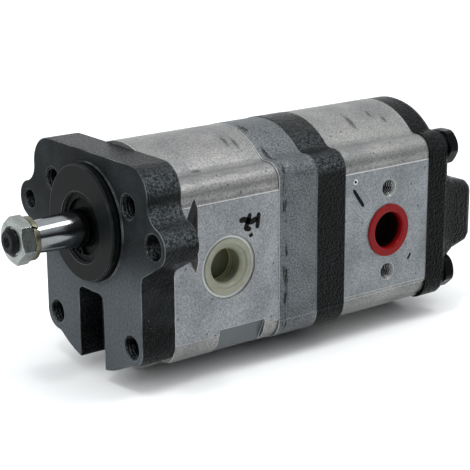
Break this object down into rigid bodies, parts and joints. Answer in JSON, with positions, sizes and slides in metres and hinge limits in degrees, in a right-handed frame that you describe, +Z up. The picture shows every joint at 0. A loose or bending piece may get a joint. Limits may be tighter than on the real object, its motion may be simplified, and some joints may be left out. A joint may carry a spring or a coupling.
{
  "type": "tandem hydraulic gear pump",
  "caption": "Hydraulic tandem gear pump: flanged cover with pilot and tapered keyed shaft, stacked bodies with side ports, rear cover, tie bolts.",
  "frame": {"origin": "on the drive shaft's axis, at the front cover's mounting face", "axes": "+X along the shaft axis from the mounting face to the rear cover, +Z up towards the drive shaft side of the bodies, +Y to the far ports"},
  "size_m": [0.2382, 0.1156, 0.103],
  "materials": {
    "cast_cover": "black phosphated cast iron, satin, fine grain",
    "body_alu": "extruded aluminium, bead-blasted grey with milled faces",
    "cast_alu": "cast aluminium, dull grey",
    "steel": "ground steel",
    "zinc": "zinc plated steel",
    "yellow_zinc": "yellow passivated spring steel",
    "spring_steel": "dark spring steel",
    "gear_steel": "case hardened ground steel",
    "block_alu": "turned aluminium",
    "bronze": "sintered bronze bush",
    "rubber": "black nitrile rubber",
    "black_screw": "blackened steel screw",
    "plug_yellow": "translucent pale yellow polyethylene",
    "cap_red": "red polyethylene"
  },
  "bodies": {
    "housing": {"front_cover": "cast_cover", "pilot_o_ring": "rubber", "shaft_seal": "rubber", "seal_retaining_ring": "spring_steel", "front_body": "body_alu", "front_bearing_blocks": "block_alu", "front_bushes": "bronze", "front_block_seals": "rubber", "coupling_housing": "cast_alu", "middle_cover": "cast_cover", "middle_seal": "rubber", "rear_body": "body_alu", "rear_bearing_blocks": "block_alu", "rear_bushes": "bronze", "rear_block_seals": "rubber", "face_seals": "rubber", "dowel_pins": "steel", "rear_cover": "cast_cover", "tie_bolts": "black_screw", "threaded_port_plugs": "plug_yellow", "port_caps": "cap_red"},
    "drive_line": {"drive_shaft": "steel", "woodruff_key": "steel", "lock_washer": "yellow_zinc", "shaft_nut": "zinc", "coupling_disc": "gear_steel"},
    "front_idler": {"front_driven_gear": "gear_steel"},
    "rear_driver": {"rear_drive_gear": "gear_steel"},
    "rear_idler": {"rear_driven_gear": "gear_steel"}
  },
  "joints": [
    {"name": "drive_spin", "type": "hinge", "parent": "housing", "child": "drive_line", "pos_m": [0, 0, 0], "axis": [1, 0, 0], "continuous": true},
    {"name": "front_idler_spin", "type": "hinge", "parent": "housing", "child": "front_idler", "pos_m": [0.0445, 0, -0.032], "axis": [1, 0, 0], "continuous": true},
    {"name": "rear_driver_spin", "type": "hinge", "parent": "housing", "child": "rear_driver", "pos_m": [0.136, 0, 0], "axis": [1, 0, 0], "continuous": true},
    {"name": "rear_idler_spin", "type": "hinge", "parent": "housing", "child": "rear_idler", "pos_m": [0.136, 0, -0.032], "axis": [1, 0, 0], "continuous": true}
  ],
  "couplings": [
    {"joint": "front_idler_spin", "follows": "drive_spin", "ratio": -1},
    {"joint": "rear_driver_spin", "follows": "drive_spin", "ratio": 1},
    {"joint": "rear_idler_spin", "follows": "drive_spin", "ratio": -1}
  ]
}
